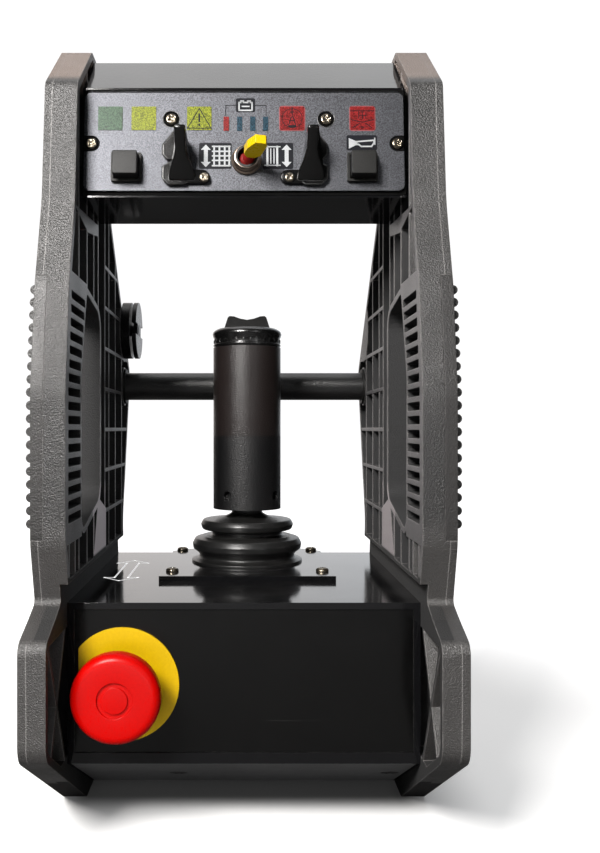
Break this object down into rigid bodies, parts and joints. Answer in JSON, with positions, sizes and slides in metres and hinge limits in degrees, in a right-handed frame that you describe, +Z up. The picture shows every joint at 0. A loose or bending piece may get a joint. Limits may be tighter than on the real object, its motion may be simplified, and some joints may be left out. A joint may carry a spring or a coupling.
{
  "type": "scissor lift control box",
  "caption": "Hand-held lift control box: two moulded grips carry a steel case with joystick and emergency stop, a crossbar and a sloping panel of switches.",
  "frame": {"origin": "on the floor under the middle of the box", "axes": "+Z up, +X to the operator's right, +Y from the front to the back"},
  "size_m": [0.212, 0.2579, 0.424],
  "materials": {
    "cheek_plastic": "fine-grained dark grey moulding",
    "pad_rubber": "soft dark grey",
    "case_paint": "satin black powder coat",
    "panel_paint": "smooth black",
    "bolt_steel": "black oxide",
    "bright_steel": "bright zinc",
    "shaft_steel": "turned",
    "chrome": "polished",
    "gland_plastic": "black nylon",
    "base_plastic": "black moulding",
    "board_green": "solder-masked board",
    "boot_rubber": "smooth black rubber",
    "stick_plastic": "satin black moulding",
    "switch_plastic": "dark grey",
    "stop_yellow": "smooth yellow",
    "stop_black": "glossy black",
    "stop_red": "glossy red",
    "panel_grey": "printed overlay, satin grey",
    "guard_plastic": "satin black",
    "button_plastic": "satin black",
    "selector_yellow": "smooth yellow",
    "selector_red": "red rubber",
    "lens_green": "smooth lens",
    "lens_lime": "smooth lens",
    "lens_red": "smooth lens",
    "bar_teal": "smooth lens",
    "bar_paint": "smooth black tube",
    "latch_plastic": "black moulding"
  },
  "bodies": {
    "housing": {"left_cheek": "cheek_plastic", "right_cheek": "cheek_plastic", "left_grip_pad": "pad_rubber", "right_grip_pad": "pad_rubber", "lower_case": "case_paint", "face_panel": "panel_paint", "base_panel": "panel_paint", "base_screws": "bolt_steel", "lower_case_bolts": "bolt_steel", "cable_gland": "gland_plastic", "cable_gland_nut": "gland_plastic", "gate_plate": "case_paint", "gate_screws": "bright_steel", "joystick_base": "base_plastic", "tilt_pin": "bright_steel", "tilt_sensor_board": "board_green", "joystick_boot": "boot_rubber", "stop_legend": "stop_yellow", "stop_collar": "stop_black", "stop_nut": "bright_steel", "stop_contact_block": "switch_plastic", "upper_case": "case_paint", "upper_rear_cover": "case_paint", "upper_case_bolts": "bolt_steel", "control_panel": "panel_grey", "panel_screws": "bright_steel", "left_switch_guard": "guard_plastic", "right_switch_guard": "guard_plastic", "left_button_body": "button_plastic", "right_button_body": "button_plastic", "selector_body": "switch_plastic", "selector_nut": "chrome", "green_lens": "lens_green", "lime_lenses": "lens_lime", "red_lenses": "lens_red", "charge_bars": "bar_teal", "control_board": "board_green", "crossbar": "bar_paint", "crossbar_bolts": "bolt_steel", "latch_barrel": "latch_plastic"},
    "joystick": {"joystick_shaft": "shaft_steel", "joystick_grip": "stick_plastic", "grip_cap": "stick_plastic", "thumb_switch": "switch_plastic", "rocker_pin": "bright_steel", "trigger_pin": "bright_steel"},
    "thumb_rocker": {"thumb_rocker": "stick_plastic"},
    "trigger": {"trigger": "stick_plastic"},
    "stop_stem": {"stop_stem": "switch_plastic"},
    "stop_head": {"stop_head": "stop_red"},
    "left_button": {"left_button_cap": "button_plastic"},
    "right_button": {"right_button_cap": "button_plastic"},
    "selector": {"selector_lever": "selector_yellow", "selector_boot": "selector_red"},
    "latch_knob": {"latch_knob": "latch_plastic"}
  },
  "joints": [
    {"name": "joystick_tilt", "type": "hinge", "parent": "housing", "child": "joystick", "pos_m": [0.002, 0.0415, 0.114], "axis": [1, 0, 0], "range_deg": [-10, 10], "stiffness_Nm_per_rad": 4, "deforming": ["joystick_boot"]},
    {"name": "thumb_rock", "type": "hinge", "parent": "joystick", "child": "thumb_rocker", "pos_m": [0.002, 0.0415, 0.27104], "axis": [0, 1, 0], "range_deg": [-8, 8], "stiffness_Nm_per_rad": 0.1},
    {"name": "trigger_pull", "type": "hinge", "parent": "joystick", "child": "trigger", "pos_m": [0.002, 0.05785, 0.25698], "axis": [-1, 0, 0], "range_deg": [0, 5], "stiffness_Nm_per_rad": 0.3},
    {"name": "stop_push", "type": "slide", "parent": "housing", "child": "stop_stem", "axis": [0, 1, 0], "range_m": [0, 0.0045], "stiffness_N_per_m": 3000},
    {"name": "stop_twist", "type": "hinge", "parent": "stop_stem", "child": "stop_head", "pos_m": [-0.062, -0.09, 0.0804], "axis": [0, 1, 0], "range_deg": [0, 40], "stiffness_Nm_per_rad": 0.2},
    {"name": "left_button_press", "type": "slide", "parent": "housing", "child": "left_button", "axis": [0, 0.9945, -0.1045], "range_m": [0, 0.0025], "stiffness_N_per_m": 800},
    {"name": "right_button_press", "type": "slide", "parent": "housing", "child": "right_button", "axis": [0, 0.9945, -0.1045], "range_m": [0, 0.0025], "stiffness_N_per_m": 800},
    {"name": "selector_throw", "type": "hinge", "parent": "housing", "child": "selector", "pos_m": [0.00136, -0.06396, 0.35252], "axis": [0, 0.1045, 0.9945], "range_deg": [-28, 0]},
    {"name": "latch_turn", "type": "hinge", "parent": "housing", "child": "latch_knob", "pos_m": [-0.0767, 0.09907, 0.28085], "axis": [1, 0, 0], "range_deg": [0, 90]}
  ]
}
